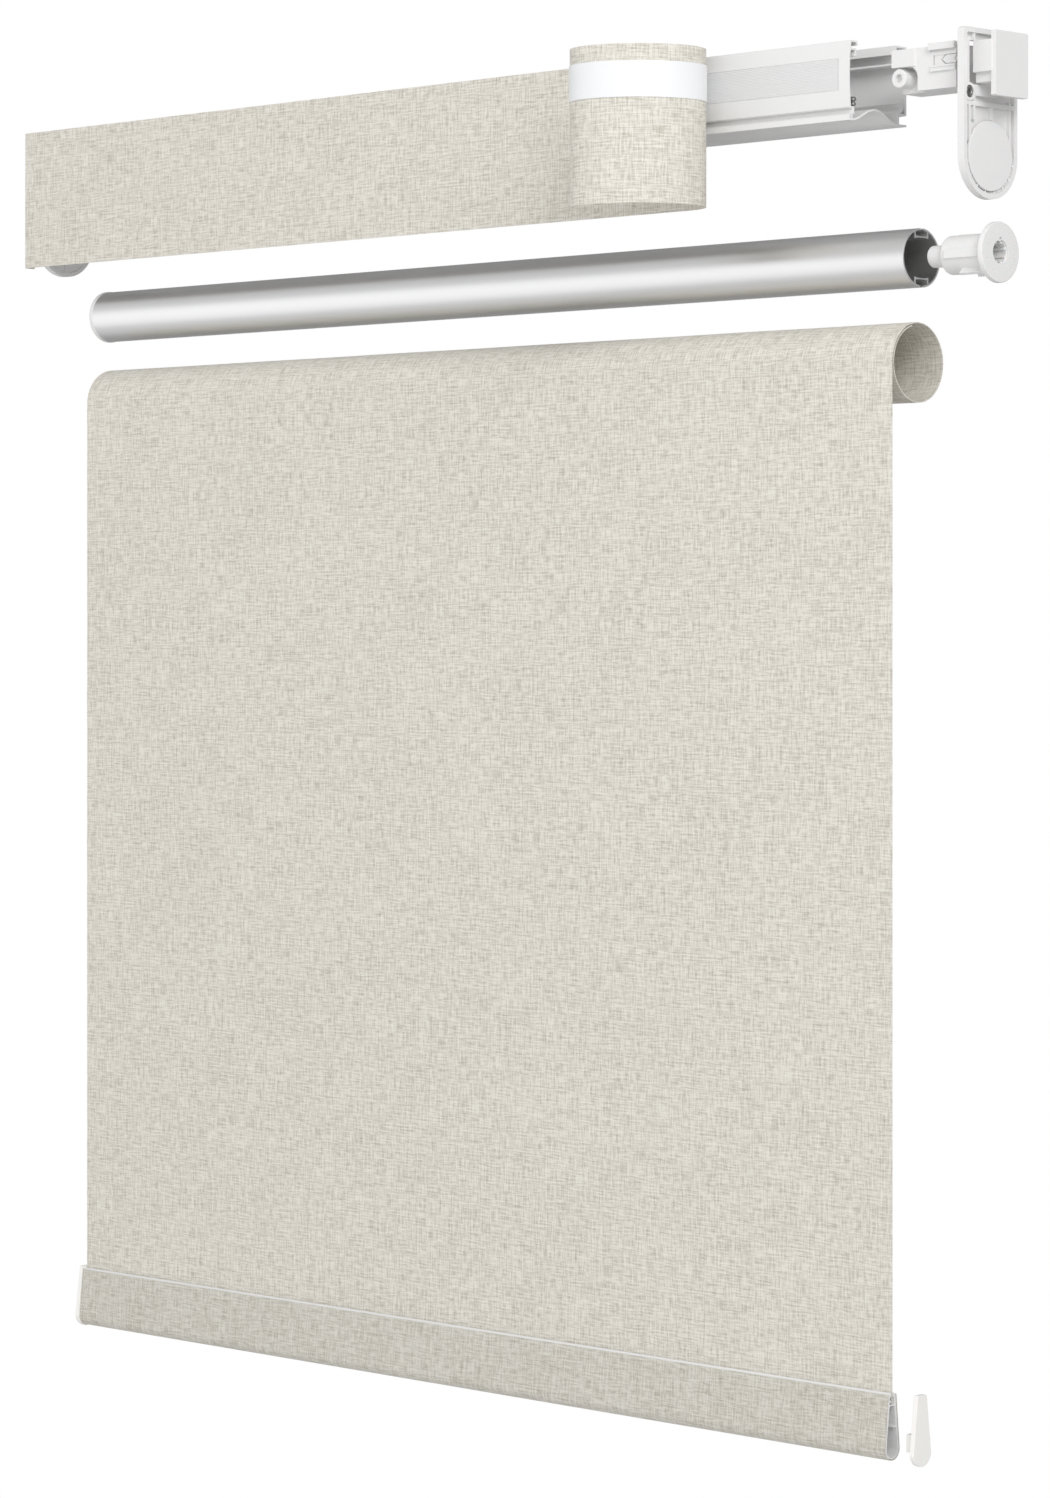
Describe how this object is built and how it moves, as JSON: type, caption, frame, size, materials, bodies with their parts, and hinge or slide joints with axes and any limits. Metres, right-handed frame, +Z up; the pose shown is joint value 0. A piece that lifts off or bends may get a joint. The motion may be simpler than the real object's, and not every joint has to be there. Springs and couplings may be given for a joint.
{
  "type": "roller blind",
  "caption": "Roller blind with linen cloth, round aluminium roller, open head rail with linen valance, and wrapped bottom bar, drawn apart at its end fittings.",
  "frame": {"origin": "centre of the head rail's back face, on the wall", "axes": "+X along the blind to its adjustable end, +Y into the wall, +Z up"},
  "size_m": [0.9789, 0.1483, 0.958],
  "materials": {
    "white_moulding": "fine satin moulding, neutral white",
    "white_painted_aluminium": "white powder coat on extruded aluminium, low sheen",
    "satin_aluminium": "drawn aluminium, bright satin",
    "linen": "plain slubby weave, oatmeal grey",
    "tape": "white woven fixing tape",
    "grip_strip": "finely ribbed strip, pale grey",
    "screw_steel": "dark machined steel",
    "spring_steel": "oiled spring wire",
    "ivory_moulding": "warm off-white moulding"
  },
  "bodies": {
    "head": {"back_rail": "white_painted_aluminium", "fascia": "white_painted_aluminium", "grip_strip": "grip_strip", "valance": "linen", "valance_tape": "tape", "left_end_plate": "white_moulding", "left_cover": "white_moulding", "left_plate_screw": "screw_steel", "left_coupling_block": "white_moulding", "left_latch_slider": "white_moulding", "left_pivot": "white_moulding", "rail_screw": "screw_steel"},
    "right_end": {"right_end_plate": "white_moulding", "right_coupling_block": "white_moulding", "right_latch_slider": "white_moulding", "right_plate_screw": "screw_steel", "right_pivot": "white_moulding"},
    "cover": {"right_cover": "white_moulding"},
    "idle_end": {"spring_shaft": "satin_aluminium", "spring_hub": "white_moulding"},
    "tube": {"roller_tube": "satin_aluminium", "idler_bush": "white_moulding", "spring_anchor": "white_moulding", "torsion_spring": "spring_steel"},
    "end_plug": {"end_plug": "white_moulding"},
    "idler_pin": {"idler_pin": "satin_aluminium"},
    "fabric": {"blind_fabric": "linen"},
    "bottom_bar": {"bottom_bar": "white_painted_aluminium", "bar_sleeve": "linen", "cloth_keeper": "white_moulding", "bar_cap_left": "ivory_moulding"},
    "bar_cap": {"bar_cap_right": "ivory_moulding"}
  },
  "joints": [
    {"name": "right_end_slide", "type": "slide", "parent": "head", "child": "right_end", "axis": [-1, 0, 0], "range_m": [0, 0.091]},
    {"name": "cover_slide", "type": "slide", "parent": "right_end", "child": "cover", "axis": [-1, 0, 0], "range_m": [0, 0.0134]},
    {"name": "tube_lift", "type": "slide", "parent": "head", "child": "idle_end", "axis": [-0.5901, 0, 0.8073], "range_m": [0, 0.0796]},
    {"name": "tube_spin", "type": "hinge", "parent": "idle_end", "child": "tube", "pos_m": [0, -0.0308, -0.1213], "axis": [1, 0, 0], "range_deg": [-1570, 0]},
    {"name": "end_plug_slide", "type": "slide", "parent": "tube", "child": "end_plug", "axis": [-1, 0, 0], "range_m": [0, 0.0628]},
    {"name": "idler_pin_slide", "type": "slide", "parent": "idle_end", "child": "idler_pin", "axis": [-1, 0, 0], "range_m": [0, 0.0096]},
    {"name": "fabric_lift", "type": "slide", "parent": "idle_end", "child": "fabric", "axis": [0, 0, 1], "range_m": [0, 0.0707]},
    {"name": "blind_raise", "type": "slide", "parent": "fabric", "child": "bottom_bar", "axis": [0, 0, -1], "range_m": [-0.655, 0], "deforming": ["blind_fabric"]},
    {"name": "bar_cap_slide", "type": "slide", "parent": "bottom_bar", "child": "bar_cap", "axis": [-1, 0, 0], "range_m": [0, 0.022]}
  ],
  "couplings": [
    {"joint": "end_plug_slide", "follows": "right_end_slide", "ratio": 0.689},
    {"joint": "idler_pin_slide", "follows": "right_end_slide", "ratio": 0.1044},
    {"joint": "tube_spin", "follows": "blind_raise", "rad_per_m": 41.7}
  ]
}
